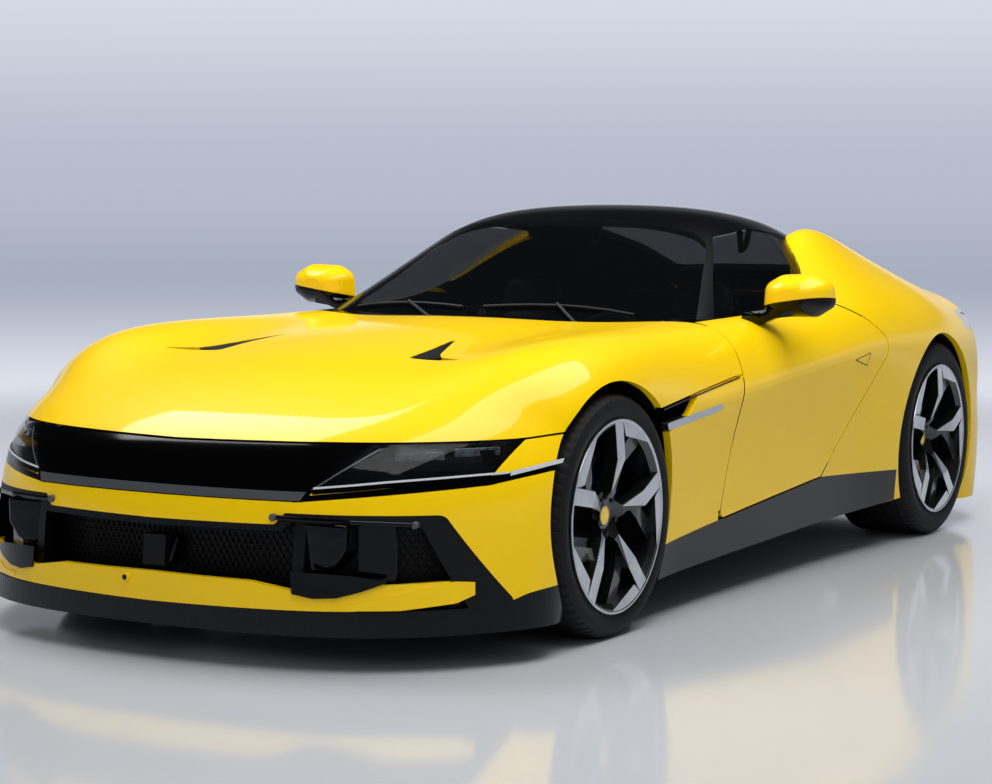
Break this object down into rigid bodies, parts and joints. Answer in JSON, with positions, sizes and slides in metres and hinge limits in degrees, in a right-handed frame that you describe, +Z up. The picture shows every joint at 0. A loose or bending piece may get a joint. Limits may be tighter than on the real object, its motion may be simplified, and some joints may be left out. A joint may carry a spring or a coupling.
{
  "type": "coupe car",
  "caption": "Low two-door sports coupe with a long bonnet, a black roof and nose band, forked-spoke wheels, and opening doors, bonnet and tailgate.",
  "frame": {"origin": "centre of the ground footprint, halfway along the car's whole length and at the tyres' lowest point", "axes": "-Y to the nose, +Y to the tail, +X to the car's left, +Z up"},
  "size_m": [2.2086, 4.7217, 1.2889],
  "materials": {
    "paint": "gloss",
    "black_paint": "gloss",
    "black_panel": "gloss",
    "carbon_black": "satin",
    "grille_black": "matt",
    "coated_floor": "matt",
    "tinted_glass": "polished",
    "clear_cover": "polished",
    "lamp_blade": "satin",
    "red_lens": "gloss",
    "satin_blade": "satin",
    "seat_leather": "matt",
    "trim_leather": "matt",
    "engine_metal": "cast",
    "bright_pipe": "brushed",
    "link_steel": "cast",
    "tyre_rubber": "moulded",
    "wheel_metal": "machined",
    "disc_iron": "machined"
  },
  "bodies": {
    "chassis": {"body_shell": "paint", "cowl_panel": "black_panel", "floor_pan": "coated_floor", "cabin_walls": "coated_floor", "boot_tub": "coated_floor", "chassis_frame": "coated_floor", "wheel_liners": "grille_black", "hinge_posts": "link_steel", "lamp_units": "black_panel", "side_skirts": "black_panel", "roof_panel": "black_paint", "fixed_glass": "tinted_glass", "nose_visor": "black_panel", "headlamp_covers": "clear_cover", "lamp_blades": "lamp_blade", "front_bumper": "paint", "front_splitter": "carbon_black", "front_low_blade": "paint", "front_grille": "grille_black", "rear_bumper": "paint", "rear_diffuser": "carbon_black", "tail_panel": "black_panel", "tail_lamps": "red_lens", "fender_blades": "satin_blade", "seats": "seat_leather", "dashboard": "trim_leather", "steering_wheel": "trim_leather", "engine_block": "engine_metal", "exhaust_pipes": "bright_pipe", "suspension_arms": "link_steel", "rear_knuckles": "link_steel"},
    "bonnet": {"bonnet_panel": "paint", "bonnet_vents": "grille_black"},
    "left_door": {"left_door_panel": "paint", "left_door_glass": "tinted_glass", "left_mirror": "paint"},
    "right_door": {"right_door_panel": "paint", "right_door_glass": "tinted_glass", "right_mirror": "paint"},
    "tailgate": {"tailgate_panel": "paint", "tailgate_glass": "tinted_glass"},
    "front_left_knuckle": {"front_left_knuckle": "link_steel"},
    "front_right_knuckle": {"front_right_knuckle": "link_steel"},
    "front_left_wheel": {"front_left_tyre": "tyre_rubber", "front_left_rim": "wheel_metal", "front_left_disc": "disc_iron"},
    "front_right_wheel": {"front_right_tyre": "tyre_rubber", "front_right_rim": "wheel_metal", "front_right_disc": "disc_iron"},
    "rear_left_wheel": {"rear_left_tyre": "tyre_rubber", "rear_left_rim": "wheel_metal", "rear_left_disc": "disc_iron"},
    "rear_right_wheel": {"rear_right_tyre": "tyre_rubber", "rear_right_rim": "wheel_metal", "rear_right_disc": "disc_iron"}
  },
  "joints": [
    {"name": "bonnet_hinge", "type": "hinge", "parent": "chassis", "child": "bonnet", "pos_m": [0, -0.445, 0.885], "axis": [-1, 0, 0], "range_deg": [0, 45]},
    {"name": "left_door_hinge", "type": "hinge", "parent": "chassis", "child": "left_door", "pos_m": [0.895, -0.632, 0.5], "axis": [0, 0, -1], "range_deg": [0, 55]},
    {"name": "right_door_hinge", "type": "hinge", "parent": "chassis", "child": "right_door", "pos_m": [-0.895, -0.632, 0.5], "axis": [0, 0, 1], "range_deg": [0, 55]},
    {"name": "tailgate_hinge", "type": "hinge", "parent": "chassis", "child": "tailgate", "pos_m": [0, 0.85, 1.205], "axis": [1, 0, 0], "range_deg": [0, 60]},
    {"name": "left_steering", "type": "hinge", "parent": "chassis", "child": "front_left_knuckle", "pos_m": [0.815, -1.38, 0.363], "axis": [0, 0, 1], "range_deg": [-30, 30]},
    {"name": "right_steering", "type": "hinge", "parent": "chassis", "child": "front_right_knuckle", "pos_m": [-0.815, -1.38, 0.363], "axis": [0, 0, 1], "range_deg": [-30, 30]},
    {"name": "front_left_wheel_spin", "type": "hinge", "parent": "front_left_knuckle", "child": "front_left_wheel", "pos_m": [0.843, -1.38, 0.363], "axis": [1, 0, 0], "continuous": true},
    {"name": "front_right_wheel_spin", "type": "hinge", "parent": "front_right_knuckle", "child": "front_right_wheel", "pos_m": [-0.843, -1.38, 0.363], "axis": [1, 0, 0], "continuous": true},
    {"name": "rear_left_wheel_spin", "type": "hinge", "parent": "chassis", "child": "rear_left_wheel", "pos_m": [0.825, 1.32, 0.377], "axis": [1, 0, 0], "continuous": true},
    {"name": "rear_right_wheel_spin", "type": "hinge", "parent": "chassis", "child": "rear_right_wheel", "pos_m": [-0.825, 1.32, 0.377], "axis": [1, 0, 0], "continuous": true}
  ],
  "couplings": [
    {"joint": "right_steering", "follows": "left_steering", "ratio": 1}
  ]
}
